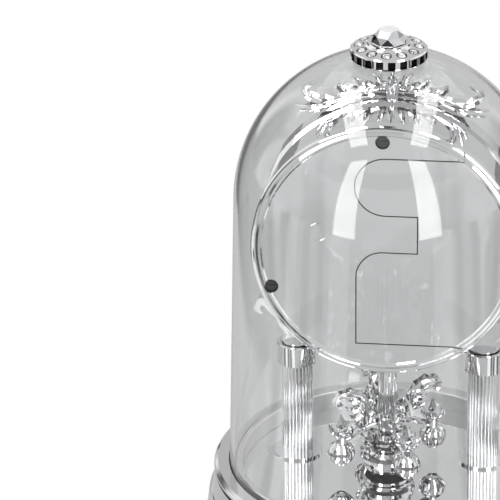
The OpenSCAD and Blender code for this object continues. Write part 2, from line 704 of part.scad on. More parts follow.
// The door's outline, grown all round by g
module door_outline(g) intersection() {
    circle(r = case_r + cut);
    union() {
        translate([-case_r - 2 * cut, -case_r]) square([case_r + 2 * cut - door_cut_x + g, 2 * case_r]);
        translate([-case_r, -notch_low - door_corner_r])
            square([case_r + door_reach - door_corner_r + g, door_corner_r + g]);
        translate([-case_r, -door_low - g])
            square([case_r + door_reach + g, door_low - notch_low - door_corner_r + g]);
        translate([door_reach - door_corner_r, -notch_low - door_corner_r]) circle(r = door_corner_r + g);
        translate([-case_r, -notch_low - cut])
            square([case_r - notch_x + g, door_top - tab_h + notch_low + 2 * cut]);
        translate([-case_r, door_top - tab_h - g]) square([case_r, tab_h + 2 * g]);
        translate([0, door_top - tab_r]) circle(r = tab_r + g);
    }
}
module cover_profile() case_turned([[0, panel_in_y], [drum_in_r, panel_in_y], [drum_in_r, seam_y],
    [case_r, seam_y], [case_r, back_y - edge], [case_r - edge / 2, back_y - edge / 4],
    [case_r - edge, back_y], [case_r - bead_w, back_y - edge / 2],
    [case_r - bead_w - edge / 2, back_y - edge / 2], [case_r - 2 * bead_w, back_y - edge / 8],
    [case_r - 2.6 * bead_w, back_y - edge / 4], [case_r - 3 * bead_w, panel_y], [0, panel_y]]);
module bay_wall(y0, y1, outer, inner) case_along_y(y0, y1) intersection() {
    difference() {
        door_outline(outer);
        door_outline(inner);
    }
    circle(r = drum_in_r - fit);
}
module back_cover() color("silver") difference() {
    union() {
        difference() {
            cover_profile();
            case_along_y(seam_y - cut, back_y + cut) door_outline(door_gap);
        }
        case_along_y(bay_floor_y, bay_floor_y + bay_floor_t) intersection() {
            door_outline(ledge_w);
            circle(r = drum_in_r - fit);
        }
        bay_wall(bay_floor_y, panel_in_y, ledge_w, -ledge_w);
        bay_wall(panel_in_y - edge, panel_in_y + edge, ledge_w, door_gap);
        for (q = screw_spots) rod_y(case_boss_r, seam_y + seat_gap / 2, panel_y - fit, q[0], q[1]);
        rod_y(mark_r, panel_y - fit, panel_y + mark_h, mark_spot[0], mark_spot[1]);
    }
    rod_y(mark_r - 2 * mark_h, panel_y, back_y + cut, mark_spot[0], mark_spot[1]);
    for (q = screw_spots) {
        rod_y(screw_hole_r, seam_y + head_sink, back_y + cut, q[0], q[1]);
        rod_y(pilot_r + rod_fit, seam_y - cut, bay_out_y, q[0], q[1]);
    }
    rod_y(pilot_r + rod_fit, bay_floor_y - cut, bay_out_y, hidden_spot[0], hidden_spot[1]);
    for (q = peg_spots) rod_y(peg_r + fit, bay_floor_y - cut, bay_out_y, q[0], q[1]);
    box_y(cell_x - cell_r - edge, cell_x + cell_r + edge, bay_floor_y - cut, bay_out_y,
        -half_w + edge, half_w - edge);
    rod_y(knob_r + edge, bay_floor_y - cut, bay_out_y, arbor_x, arbor_z);
}
module battery_door() color("silver") {
    intersection() {
        cover_profile();
        case_along_y(seam_y - cut, back_y + cut) door_outline(0);
    }
    for (q = peg_spots) rod_y(peg_r, bay_floor_y + fit, panel_in_y + edge, q[0], q[1]);
}
module case_screw(q, y) {
    difference() {
        rod_y(screw_hole_r - head_gap, y, y + head_h, q[0], q[1]);
        box_y(q[0] - screw_hole_r, q[0] + screw_hole_r, y + head_h / 2, y + 2 * head_h,
            q[1] - slot_w / 2, q[1] + slot_w / 2);
    }
    rod_y(pilot_r - fit / 2, seam_y - pilot_h + edge, y, q[0], q[1]);
}
module case_screws() color("gray") {
    for (q = screw_spots) case_screw(q, seam_y + head_sink);
    case_screw(hidden_spot, bay_floor_y + bay_floor_t);
}

// Movement
module movement_case() color("#303030") difference() {
    union() {
        box_y(movement_x0, movement_x1, movement_y, movement_back_y - shell_t, -half_w, half_w);
        rod_y(bush_r, bush_y, movement_y + cut);
    }
    box_y(movement_x0 + shell_t, bay_x, movement_y + shell_t, movement_back_y,
        -half_w + shell_t, half_w - shell_t);
    box_y(bay_x + shell_t, movement_x1 - shell_t, movement_y + shell_t, movement_back_y,
        -half_w + shell_t, half_w - shell_t);
    rod_y(bush_in_r, bush_y - cut, movement_y + shell_t + cut);
    rod_y(pivot_r + run, movement_y + shell_t - pivot_l - fit, movement_y + shell_t + cut, arbor_x, arbor_z);
}
module movement_back() color("#303030") difference() {
    union() {
        box_y(bay_x + fit, movement_x1, movement_back_y - shell_t, movement_back_y, -half_w, half_w);
        rod_y(post_r, post_y, movement_back_y - shell_t + fit);
        rod_y(post_r, post_y, movement_back_y - shell_t + fit, arbor_x, arbor_z);
    }
    rod_y(pivot_r + run, post_y - cut, post_y + post_deep);
    rod_y(arbor_r + run, post_y - cut, movement_back_y + cut, arbor_x, arbor_z);
}
module fixing_nut() color("goldenrod") difference() {
    translate([0, dial_y, case_z]) rotate([90, 0, 0]) cylinder(r = fixing_r, h = fixing_t, $fn = 6);
    rod_y(bush_r + fit / 2, dial_y - fixing_t - cut, dial_y + cut);
}
module battery_cell() color("#404448") translate([cell_x, cell_y, case_z + cell_low]) {
    cylinder(r = cell_r, h = cell_l);
    cylinder(r = nub_r, h = cell_l + nub_h);
}
module contact_plate(z) box_y(cell_x - contact_r, cell_x + contact_r, cell_y - contact_r,
    cell_y + contact_r, z, z + contact_t);
module battery_contacts() color("gray") {
    contact_plate(half_w - shell_t - contact_t);
    contact_plate(-half_w + shell_t);
    translate([cell_x, cell_y, case_z - half_w + shell_t])
        cylinder(r1 = contact_r, r2 = spring_r, h = cell_low + half_w - shell_t);
}

// Motion work and hands
module minute_arbor() color("goldenrod") {
    rod_y(arbor_r, minute_hand_y - 2 * hand_t, minute_y + wheel_t / 2);
    rod_y(pivot_r, minute_y + wheel_t / 2, post_y + post_deep - post_end);
    gear(cannon_teeth, cannon_m, minute_y - pinion_extra, wheel_t + 2 * pinion_extra, 0, 0, arbor_angle);
}
module hour_wheel() color("goldenrod") difference() {
    union() {
        gear(hour_wheel_teeth, hour_m, hour_y, wheel_t, 0, 0, arbor_angle + 180 / hour_wheel_teeth);
        rod_y(tube_r, hour_hand_y - hand_t, hour_y + wheel_t);
    }
    rod_y(arbor_r + run, hour_hand_y - hand_t - cut, hour_y + wheel_t + cut);
}
module minute_wheel() color("goldenrod") {
    gear(minute_wheel_teeth, cannon_m, minute_y, wheel_t, arbor_x, arbor_z,
        arbor_angle + 180 + 180 / minute_wheel_teeth);
    gear(minute_pinion_teeth, hour_m, hour_y - pinion_extra, minute_y - hour_y + pinion_extra + fit,
        arbor_x, arbor_z, arbor_angle + 180);
    rod_y(pivot_r, movement_y + shell_t - pivot_l, hour_y, arbor_x, arbor_z);
    rod_y(arbor_r, minute_y + fit, movement_back_y + arbor_out, arbor_x, arbor_z);
}
module set_knob() color("#303030") difference() {
    union() {
        translate([arbor_x, knob_y, case_z + arbor_z]) rotate([90, 0, 0]) linear_extrude(knob_h)
            difference() {
                circle(r = knob_r);
                for (i = [0:knob_notches - 1]) rotate(360 / knob_notches * i) translate([knob_r, 0])
                    circle(r = knob_notch_r);
            }
        rod_y(knob_neck_r, movement_back_y + knob_gap, knob_y - knob_h + cut, arbor_x, arbor_z);
    }
    rod_y(arbor_r, movement_back_y, movement_back_y + arbor_out, arbor_x, arbor_z);
}
spade_share = [[-0.04, -0.16], [0.04, -0.16], [0.05, 0], [0.03, 0.5], [0.1, 0.64], [0.08, 0.76],
    [0.02, 0.86], [0, 1], [-0.02, 0.86], [-0.08, 0.76], [-0.1, 0.64], [-0.03, 0.5], [-0.05, 0]];
module hand(l, y, hole) case_along_y(y - hand_t, y) difference() {
    union() {
        polygon(spade_share * l);
        circle(r = hole + hand_ring);
    }
    circle(r = hole);
}
module about_case(a) translate([0, 0, case_z]) rotate([0, a, 0]) translate([0, 0, -case_z]) children();
module hour_hand() color("#202020") about_case(hour_angle) hand(hour_l, hour_hand_y, tube_r);
module minute_hand() color("#202020") about_case(minute_angle) hand(minute_l, minute_hand_y, arbor_r);
module hand_nut() color("goldenrod") difference() {
    rod_y(hand_nut_r, minute_hand_y - hand_t - hand_nut_t, minute_hand_y - hand_t);
    rod_y(arbor_r + fit / 2, minute_hand_y - 2 * hand_t, minute_hand_y);
}

// Pendulum drive
module drive_housing() color("#303030") difference() {
    box_y(-drive_w / 2, drive_w / 2, movement_y, drive_back,
        drive_low - case_z, drive_low - case_z + drive_h);
    box_y(-drive_w / 2 + shell_t, drive_w / 2 - shell_t, movement_y + shell_t, drive_back - shell_t,
        drive_low - case_z + shell_t, drive_low - case_z + drive_h - shell_t);
    translate([0, 0, drive_low - cut]) cylinder(r = bearing_r + fit / 2, h = shell_t + 2 * cut);
}
module drive_bearing() color("goldenrod") difference() {
    union() {
        translate([0, 0, drive_low]) cylinder(r = bearing_r, h = shell_t);
        translate([0, 0, drive_low + shell_t]) cylinder(r = bearing_r + flange_w, h = flange_t);
    }
    translate([0, 0, drive_low - cut]) cylinder(r = spindle_r + run, h = shell_t + flange_t + 2 * cut);
}
module drive_coil() color("chocolate") difference() {
    translate([0, 0, drive_low + shell_t]) cylinder(r = coil_r, h = coil_h);
    translate([0, 0, drive_low + shell_t - cut]) cylinder(r = coil_r - coil_w, h = coil_h + 2 * cut);
}
module pendulum_spindle() color("gray") {
    translate([0, 0, stem_top - spindle_in])
        cylinder(r = spindle_r, h = collar_z + spindle_up - stem_top + spindle_in);
    translate([0, 0, collar_z]) cylinder(r = shoulder_in_r, h = shoulder_t);
}
module rotor_magnet() color("#505050") difference() {
    translate([0, 0, collar_z + shoulder_t]) cylinder(r = magnet_r, h = magnet_h);
    translate([0, 0, collar_z + shoulder_t - cut]) cylinder(r = spindle_r, h = magnet_h + 2 * cut);
}

// Pendulum
module pendulum_rod() color("silver") difference() {
    translate([0, 0, stem_low]) linear_extrude(stem_top - stem_low) difference() {
        circle(r = stem_r);
        for (i = [0:flutes - 1]) rotate(360 / flutes * i) translate([stem_r + flute_out, 0])
            circle(r = flute_r);
    }
    translate([0, 0, stem_top - spindle_in]) cylinder(r = spindle_r, h = spindle_in + cut);
}
cup_share = [[0, 0], [0.79, 0], [0.8, 0.16], [0.86, 0.2], [0.87, 0.3], [0.93, 0.36], [0.98, 0.56], [1, 0.76],
    [0.97, 1], [0.88, 1], [0.86, 0.86], [0.44, 0.86], [0.44, 0.8], [0, 0.8]];
module hub_cup() color("gainsboro") translate([0, 0, cup_z]) rotate_extrude()
    polygon(sized(cup_share, cup_r, cup_h));
calyx_share = [[0, 0], [0.7, 0], [0.62, 0.13], [0.5, 0.21], [0.44, 0.43], [0.47, 0.74], [0.44, 0.95],
    [0.35, 1], [0, 1]];
module hub_calyx() color("silver") difference() {
    translate([0, 0, calyx_z]) rotate_extrude() polygon(sized(calyx_share, cup_r, calyx_h));
    translate([0, 0, stem_low]) cylinder(r = stem_r + fit / 2, h = calyx_h);
}
petal_share = [[0.1, 0.14], [0.34, 0.5], [0.68, 0.86], [1, 1], [1.16, 0.84]];
petal_w_share = [1, 1, 0.9, 0.6, 0.1];
module calyx_leaves() color("silver") translate([0, 0, calyx_z + petal_rise_share * calyx_h]) {
    difference() {
        cylinder(r = petal_in_r + petal_t, h = petal_t);
        translate([0, 0, -cut]) cylinder(r = petal_in_r, h = petal_t + 2 * cut);
    }
    for (k = [0:petal_count - 1]) rotate([90, 0, 360 / petal_count * k]) translate([petal_in_r, 0, 0])
        blade(sized(petal_share, petal_reach, petal_h), petal_w_share * petal_t, petal_w, 5);
}
strap_share = [[0, 0.4], [0.28, 0.37], [0.59, 0.29], [0.82, 0.225], [1, 0.215]];
scroll_share = [[0.36, 0.33], [0.31, 0.56], [0.32, 0.78], [0.485, 0.92], [0.76, 1], [1.03, 0.98],
    [1.16, 0.88], [1.08, 0.8], [0.97, 0.83]];
leaf_low_share = [[0.32, 0.48], [0.46, 0.56], [0.62, 0.55], [0.76, 0.62]];
leaf_mid_share = [[0.32, 0.64], [0.485, 0.7], [0.7, 0.68], [0.86, 0.75]];
leaf_top_share = [[0.38, 0.8], [0.54, 0.85], [0.73, 0.84], [0.86, 0.9]];
side_share = [[0.27, 0.38], [0.16, 0.48], [0.12, 0.6], [0.2, 0.65], [0.255, 0.6]];
arm_lobe_share = 0.16;
arm_start = hub_r + seat_gap;
function arm_path(S) = [for (q = S) [arm_start + q[0] * (ball_reach - arm_start), q[1] * arm_rise]];
module arm_leaf(S, w, n = 5, lobes = 4, t = 1)
    blade(arm_path(S), w * arm_w, arm_t * t, n, lobes, arm_lobe_share);
module scroll_arm(i) color("silver") rotate([0, 0, arm_turn + 90 * i]) {
    translate([0, 0, ball_z]) rotate([90, 0, 0]) {
        arm_leaf(strap_share, [0.8, 0.8, 0.75, 0.7, 0.7], 6, 0, 1.1);
        arm_leaf(scroll_share, [0.8, 1, 1.15, 1.25, 1.25, 1.1, 0.9, 0.7, 0.3], 16, 8);
        arm_leaf(leaf_low_share, [0.8, 1, 0.8, 0.15], 5, 3, 0.8);
        arm_leaf(leaf_mid_share, [0.9, 1.1, 0.9, 0.15], 5, 3, 0.7);
        arm_leaf(leaf_top_share, [0.8, 1, 0.8, 0.15], 5, 3, 0.85);
        arm_leaf(side_share, [0.6, 0.8, 0.8, 0.6, 0.2], 6, 3, 0.65);
    }
    translate([ball_reach, 0, ball_z + ball_top]) cylinder(r = arm_ring_r, h = arm_ring_h, $fn = 20);
}
hub_share = [[0.96, 0], [1, 0.08], [1, 0.92], [0.96, 1]];
module arm_hub() color("silver") difference() {
    translate([0, 0, hub_z]) rotate_extrude()
        polygon(concat([[stem_r - edge, 0]], sized(hub_share, hub_r, hub_h), [[stem_r - edge, hub_h]]));
    translate([0, 0, hub_z - cut]) cylinder(r = stem_r + fit / 2, h = hub_h + 2 * cut);
}
module ball_spot(i) rotate([0, 0, arm_turn + 90 * i]) translate([ball_reach, 0, ball_z]) children();
ball_share = [[0, -0.8], [0.34, -0.8], [0.36, -0.9], [0.46, -0.88], [0.5, -0.78], [0.76, -0.54],
    [0.93, -0.24], [0.96, 0], [0.93, 0.24], [0.76, 0.54], [0.54, 0.72], [0.42, ball_top_share],
    [0, ball_top_share]];
rib_share = [[0.3, -0.6], [0.56, -0.76], [0.82, -0.54], [0.97, -0.24], [1, 0], [0.97, 0.24], [0.82, 0.54],
    [0.56, 0.72], [0.3, 0.6]];
module ball_cup(i) color("silver") ball_spot(i) {
    rotate_extrude() polygon(ball_share * ball_r);
    for (k = [0:ball_ribs - 1]) rotate([0, 0, 360 / ball_ribs * k])
        rotate_extrude(angle = ball_rib_turn) polygon(rib_share * ball_r);
}
crown_share = [[0.1, 0.24], [0.4, 0.18], [0.7, 0.36], [0.86, 0.76], [0.74, 0.92]];
crown_w_share = [0.7, 0.9, 1, 0.7, 0.2];
module leaf_crowns() color("silver") for (i = [0:3]) ball_spot(i) translate([0, 0, crown_z]) {
    cylinder(r = crown_r, h = crown_h, $fn = 16);
    for (k = [0:3]) rotate([0, 0, 45 + 90 * k]) rotate([90, 0, 0])
        blade(crown_share * ball_r, crown_w_share * spear_r, crown_leaf_t, 5);
}
spear_share = [[0.5, 0], [1, 0.28], [0.86, 0.5], [0.06, 1]];
module pendulum_crystals() color("white") for (i = [0:3]) ball_spot(i) translate([0, 0, crown_z + crown_h])
    gem(sized(spear_share, spear_r, spear_h), 6);

// Dome and finial
module dome_solid(t, low) {
    intersection() {
        translate([0, 0, dome_z]) sphere(r = dome_r - t);
        translate([-dome_r, -dome_r, dome_z]) cube([2 * dome_r, 2 * dome_r, 2 * dome_r]);
    }
    translate([0, 0, low])
        cylinder(r1 = dome_foot_r - t + (dome_foot_r - dome_r) * (seat_z - low) / dome_wall_h,
            r2 = dome_r - t, h = dome_z - low);
}
module glass_dome() color([0.85, 0.9, 0.95, 0.3]) difference() {
    dome_solid(0, seat_z);
    dome_solid(dome_t, seat_z - cut);
    translate([0, 0, dome_top - 2 * dome_t]) cylinder(r = finial_screw_r + rod_fit, h = 4 * dome_t);
}
module finial_setting() color("silver") difference() {
    translate([0, 0, finial_low]) rotate_extrude() polygon([[0, 0], [setting_r - edge, 0],
        [setting_r - edge / 2, edge / 2], [setting_r, edge], [setting_r, setting_h - edge / 2],
        [setting_r - edge / 2, setting_h], [collar_r + edge, setting_h + slope_h],
        [collar_r + edge / 4, setting_h + slope_h + collar_step], [collar_r, collar_h],
        [crystal_r + fit, collar_h], [crystal_r + fit, collar_h - crystal_sink],
        [0, collar_h - crystal_sink]]);
    translate([0, 0, dome_z]) sphere(r = dome_r + fit / 2);
    for (i = [0:windows - 1]) rotate([0, 0, 360 / windows * (i + 0.5)])
        translate([setting_r - window_d, -window_w / 2, finial_low + window_rim])
            cube([2 * window_d, window_w, setting_h - 2 * window_rim]);
    for (i = [0:stones - 1]) rotate([0, 0, 360 / stones * i])
        translate([stone_ring_r, 0, finial_low + setting_h - stone_seat])
            cylinder(r = stone_r + fit / 2, h = slope_h + 2 * stone_seat + cut);
    cylinder(r = finial_screw_r - fit, h = finial_low + setting_h - edge);
}
stone_share = [[0.94, 0], [1, 0.5], [0.55, 1]];
module finial_stones() color("white") for (i = [0:stones - 1]) rotate([0, 0, 360 / stones * i])
    translate([stone_ring_r, 0, finial_low + setting_h - stone_seat]) gem(stone_share * stone_r, 8);
crystal_share = [[0.95, 0], [1, 0.2], [0.84, 0.62], [0.52, 1]];
module finial_crystal() color("white")
    translate([0, 0, finial_low + collar_h - crystal_sink])
        gem(sized(crystal_share, crystal_r, crystal_h), 8);
module finial_screw() color("gray") {
    translate([0, 0, washer_z - finial_head_h]) cylinder(r = finial_head_r, h = finial_head_h);
    translate([0, 0, washer_z - cut])
        cylinder(r = finial_screw_r - fit - run, h = finial_low + setting_h - 2 * edge - washer_z + cut);
}
module finial_washer() color("gray") difference() {
    translate([0, 0, washer_z]) cylinder(r = washer_r, h = washer_t);
    translate([0, 0, washer_z - cut]) cylinder(r = finial_screw_r + fit, h = washer_t + 2 * cut);
}

base_shell();
bottom_cover();
base_screws();
rubber_feet();
deck_plate();
column_rings();
column_left();
column_right();
column_caps();
tie_rods();
tie_nuts();
front_frame();
crest();
bracket_left();
bracket_right();
lens();
dial();
dial_ring();
case_drum();
back_cover();
case_screws();
battery_door();
movement_case();
movement_back();
fixing_nut();
battery_cell();
battery_contacts();
drive_housing();
drive_bearing();
drive_coil();
minute_hand();
hand_nut();
minute_arbor();
hour_hand();
hour_wheel();
minute_wheel();
set_knob();
pendulum_spindle();
rotor_magnet();
pendulum_rod();
hub_calyx();
calyx_leaves();
hub_cup();
arm_hub();
scroll_arm(0);  // scroll_arm_1
scroll_arm(1);  // scroll_arm_2
scroll_arm(2);  // scroll_arm_3
scroll_arm(3);  // scroll_arm_4
ball_cup(0);  // ball_cup_1
ball_cup(1);  // ball_cup_2
ball_cup(2);  // ball_cup_3
ball_cup(3);  // ball_cup_4
leaf_crowns();
pendulum_crystals();
glass_dome();
finial_setting();
finial_stones();
finial_crystal();
finial_screw();
finial_washer();
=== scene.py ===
import bpy
import math
from mathutils import Vector, Matrix


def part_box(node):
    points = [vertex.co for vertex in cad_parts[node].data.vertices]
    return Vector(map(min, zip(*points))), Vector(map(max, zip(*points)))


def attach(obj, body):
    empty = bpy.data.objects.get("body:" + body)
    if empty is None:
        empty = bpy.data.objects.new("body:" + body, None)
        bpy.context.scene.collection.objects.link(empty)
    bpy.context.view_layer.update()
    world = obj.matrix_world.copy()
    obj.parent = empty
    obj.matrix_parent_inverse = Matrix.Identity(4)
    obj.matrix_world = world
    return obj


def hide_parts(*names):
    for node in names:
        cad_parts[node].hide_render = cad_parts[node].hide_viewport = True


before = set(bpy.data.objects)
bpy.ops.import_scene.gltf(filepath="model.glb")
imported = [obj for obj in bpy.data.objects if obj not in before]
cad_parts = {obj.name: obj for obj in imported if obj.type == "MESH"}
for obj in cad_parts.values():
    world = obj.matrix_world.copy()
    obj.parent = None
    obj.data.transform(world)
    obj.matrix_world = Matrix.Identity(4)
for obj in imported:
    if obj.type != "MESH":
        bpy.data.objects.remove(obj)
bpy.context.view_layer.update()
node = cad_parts

# The camera and the soft boxes
# The clock is seen from behind and a little above, with the lens of the photograph.
# On each side of the camera stands an upright soft box, and a second one lies level over the clock.
eye = Vector((-0.11536, 1.35976, 0.75854))
turn, rise, tilt = math.radians(7.20), math.radians(24.63), math.radians(-0.72)
focus_in_pixels, picture_in_pixels, film_width = 3700.1, 500, 36
look = math.radians(180) + turn
back = Vector((math.sin(look) * math.cos(rise), -math.cos(look) * math.cos(rise), math.sin(rise)))
right = Vector((math.cos(look), math.sin(look), 0))
up = back.cross(right)
right_tilted = math.cos(tilt) * right + math.sin(tilt) * up
up_tilted = math.cos(tilt) * up - math.sin(tilt) * right
studio_lens = bpy.data.cameras.new("studio_camera")
studio_lens.sensor_width = film_width
studio_lens.lens = focus_in_pixels / picture_in_pixels * film_width
studio_lens.clip_start = 0.05
studio_lens.clip_end = 50
camera = bpy.data.objects.new("studio_camera", studio_lens)
bpy.context.collection.objects.link(camera)
pose = Matrix((right_tilted, up_tilted, back)).transposed().to_4x4()
pose.translation = eye
camera.matrix_world = pose
bpy.context.scene.camera = camera
bpy.context.scene.view_settings.view_transform = "Standard"

box_light = 15
wall_distance, wall_foot, wall_top, wall_width = 0.9, 0.03, 1.33, 0.35
roof_height, roof_near, roof_far, roof_width = 1.35, 0.58, -0.6, 0.3


def soft_box(name, start, end, width, behind):
    """A soft box from one point to another, in a frame turned to the camera, which doesn't see it."""
    facing = Matrix.Rotation(-math.atan2(eye.x, eye.y), 3, "Z")
    run, out = facing @ (end - start).normalized(), facing @ behind
    data = bpy.data.lights.new(name, "AREA")
    data.shape = "RECTANGLE"
    data.size, data.size_y = width, (end - start).length
    data.energy = box_light * data.size * data.size_y
    box = bpy.data.objects.new(name, data)
    bpy.context.collection.objects.link(box)
    turned = Matrix((run.cross(out), run, out)).transposed().to_4x4()
    box.matrix_world = Matrix.Translation(facing @ ((start + end) / 2)) @ turned
    box.visible_camera = False


for hand, wall_x, roof_x in (("left", 0.56, 0.48), ("right", -0.53, -0.5)):
    soft_box("wall_box_" + hand, Vector((wall_x, wall_distance, wall_foot)),
             Vector((wall_x, wall_distance, wall_top)), wall_width, Vector((0, 1, 0)))
    soft_box("roof_box_" + hand, Vector((roof_x, roof_near, roof_height)),
             Vector((roof_x, roof_far, roof_height)), roof_width, Vector((0, 0, 1)))

# The room
# A grey tent that the plating mirrors, whiter in the far corners, with a dark stripe on the camera's side
# and a dark card low on each side. The camera sees it white, and through the dome it is plain grey.
# Matt surfaces get more light from it, so that the dial and the hands are well lit.
far_grey, corner_grey, near_grey, overhead_grey = 0.58, 1.0, 0.55, 0.62
room_dark = 0.04
grey_behind_dome = 0.54
room_light_on_matt = 1.9
world = bpy.data.worlds.new("studio")
bpy.context.scene.world = world
world.use_nodes = True
sky = world.node_tree
sky.nodes.clear()
sky_out = sky.nodes.new("ShaderNodeOutputWorld")
sky_mix = sky.nodes.new("ShaderNodeMixShader")
sky_light = sky.nodes.new("ShaderNodeBackground")
sky_seen = sky.nodes.new("ShaderNodeBackground")
sky_path = sky.nodes.new("ShaderNodeLightPath")
sky_place = sky.nodes.new("ShaderNodeTexCoord")
sky_split = sky.nodes.new("ShaderNodeSeparateXYZ")
sky.links.new(sky_place.outputs["Generated"], sky_split.inputs[0])


def maths(tree, operation, *values):
    """A maths node. Each value is a number or the result of another node."""
    step = tree.nodes.new("ShaderNodeMath")
    step.operation = operation
    for socket, value in zip(step.inputs, values):
        if isinstance(value, float):
            socket.default_value = value
        else:
            tree.links.new(value, socket)
    return step.outputs[0]


def rise_over(tree, value, low, high):
    """A soft step from 0 to 1 while a value goes from low to high."""
    soft = tree.nodes.new("ShaderNodeMapRange")
    soft.interpolation_type = "SMOOTHSTEP"
    soft.inputs["From Min"].default_value = low
    soft.inputs["From Max"].default_value = high
    tree.links.new(value, soft.inputs["Value"])
    return soft.outputs[0]


def band(tree, value, start, full, fade, end):
    """1 from full to fade, and 0 before start and after end."""
    return maths(tree, "MULTIPLY",
                 rise_over(tree, value, start, full), rise_over(tree, value, end, fade))


def blend_grey(tree, share, below, above):
    """Goes from one grey to the next by a share. Either grey may be the result of another node."""
    mix = tree.nodes.new("ShaderNodeMix")
    mix.data_type = "RGBA"
    tree.links.new(share, mix.inputs["Factor"])
    for socket, grey in (("A", below), ("B", above)):
        if isinstance(grey, float):
            mix.inputs[socket].default_value = (grey, grey, grey, 1)
        else:
            tree.links.new(grey, mix.inputs[socket])
    return mix.outputs["Result"]


sky_wide = maths(sky, "ABSOLUTE", sky_split.outputs["X"])
sky_near = rise_over(sky, sky_split.outputs["Y"], 0.15, 0.6)
sky_corner = rise_over(sky, sky_wide, 0.5, 0.6)
sky_stripe = band(sky, sky_split.outputs["Z"], 0.48, 0.51, 0.65, 0.68)
sky_side = band(sky, sky_wide, 0.6, 0.72, 0.86, 0.9)
sky_low = rise_over(sky, sky_split.outputs["Z"], 0.5, 0.3)
sky_high = rise_over(sky, sky_split.outputs["Z"], 0.66, 0.78)
mirrored = rise_over(sky, sky_path.outputs["Glossy Depth"], 0.4, 0.6)
scattered = rise_over(sky, sky_path.outputs["Diffuse Depth"], 0.4, 0.6)
far_wall = blend_grey(sky, sky_corner, far_grey, corner_grey)
near_wall = blend_grey(sky, sky_stripe, near_grey, room_dark)
tent = blend_grey(sky, sky_near, far_wall, near_wall)
tent = blend_grey(sky, maths(sky, "MULTIPLY", sky_side, sky_low), tent, room_dark)
tent = blend_grey(sky, sky_high, tent, overhead_grey)
tent = blend_grey(sky, mirrored, grey_behind_dome, tent)
tent = blend_grey(sky, scattered, tent, room_light_on_matt)
sky.links.new(tent, sky_light.inputs["Color"])
sky_seen.inputs["Color"].default_value = (1, 1, 1, 1)
sky_seen.inputs["Strength"].default_value = 1
sky.links.new(sky_path.outputs["Is Camera Ray"], sky_mix.inputs[0])
sky.links.new(sky_light.outputs[0], sky_mix.inputs[1])
sky.links.new(sky_seen.outputs[0], sky_mix.inputs[2])
sky.links.new(sky_mix.outputs[0], sky_out.inputs[0])

# The floor
# A pale sheet: white to the camera with a faint shadow, and grey in the plating and through the dome.
# White and dark cards on the camera's side give the reeds and cups their lines.
# In the plating the sheet's far corners are darker.
floor_radius = 2.6
sheet_near, sheet_far, sheet_corner = 0.6, 0.68, 0.18
white_card, pale_card, black_card = 1.25, 1.2, 0.05
cards = ((22, 36, white_card), (-50, -36, white_card),
         (40, 45, black_card), (51, 57, black_card), (71, 78, black_card),
         (-58, -53, black_card), (-71, -65, black_card), (-92, -85, black_card),
         (62, 70, pale_card), (-80, -72, pale_card))
floor_light_on_matt = 1.2
white_share = 0.95
bpy.ops.object.select_all(action="DESELECT")
bpy.ops.mesh.primitive_circle_add(vertices=96, radius=floor_radius, fill_type="NGON",
                                  location=(0, 0, -0.0001))
floor = bpy.context.object
floor.name = "studio_floor"
floor_look = bpy.data.materials.new("studio_floor")
floor_look.use_nodes = True
pale = floor_look.node_tree
pale_out = pale.nodes["Material Output"]
pale_paint = pale.nodes["Principled BSDF"]
pale_paint.inputs["Base Color"].default_value = (0.5, 0.5, 0.5, 1)
pale_paint.inputs["Roughness"].default_value = 0.7
pale_white = pale.nodes.new("ShaderNodeEmission")
pale_grey = pale.nodes.new("ShaderNodeEmission")
pale_path = pale.nodes.new("ShaderNodeLightPath")
pale_place = pale.nodes.new("ShaderNodeTexCoord")
pale_split = pale.nodes.new("ShaderNodeSeparateXYZ")
pale_ripple = pale.nodes.new("ShaderNodeTexNoise")
pale_ripple.inputs["Scale"].default_value = 9
pale_ripple.inputs["Detail"].default_value = 2
pale.links.new(pale_place.outputs["Object"], pale_split.inputs[0])
pale.links.new(pale_place.outputs["Object"], pale_ripple.inputs["Vector"])
bearing_on_floor = maths(pale, "ARCTAN2", pale_split.outputs["X"], pale_split.outputs["Y"])
wavy_distance = maths(pale, "MULTIPLY_ADD", pale_ripple.outputs["Fac"], 0.22, pale_split.outputs["Y"])
sheet = blend_grey(pale, rise_over(pale, wavy_distance, 0.44, 0.47), sheet_near, sheet_far)
for low, high, grey in cards:
    edges = [math.radians(edge) for edge in (low - 1, low + 1, high - 1, high + 1)]
    sheet = blend_grey(pale, band(pale, bearing_on_floor, *edges), sheet, grey)
far_corner = maths(pale, "MULTIPLY",
                   rise_over(pale, maths(pale, "ABSOLUTE", pale_split.outputs["X"]), 0.24, 0.28),
                   rise_over(pale, pale_split.outputs["Y"], 0.12, 0.08))
sheet = blend_grey(pale, far_corner, sheet, sheet_corner)
mirrored = rise_over(pale, pale_path.outputs["Glossy Depth"], 0.4, 0.6)
scattered = rise_over(pale, pale_path.outputs["Diffuse Depth"], 0.4, 0.6)
sheet = blend_grey(pale, mirrored, grey_behind_dome, sheet)
sheet = blend_grey(pale, scattered, sheet, floor_light_on_matt)
pale.links.new(sheet, pale_grey.inputs["Color"])
pale_far = pale.nodes.new("ShaderNodeMixShader")
pale_mix = pale.nodes.new("ShaderNodeMixShader")
seen_in_things = maths(pale, "MAXIMUM", pale_path.outputs["Is Glossy Ray"],
                       pale_path.outputs["Is Transmission Ray"])
seen_by_camera = maths(pale, "MULTIPLY", pale_path.outputs["Is Camera Ray"], white_share)
pale.links.new(seen_in_things, pale_far.inputs[0])
pale.links.new(pale_paint.outputs[0], pale_far.inputs[1])
pale.links.new(pale_grey.outputs[0], pale_far.inputs[2])
pale.links.new(seen_by_camera, pale_mix.inputs[0])
pale.links.new(pale_far.outputs[0], pale_mix.inputs[1])
pale.links.new(pale_white.outputs[0], pale_mix.inputs[2])
pale.links.new(pale_mix.outputs[0], pale_out.inputs[0])
floor.data.materials.append(floor_look)


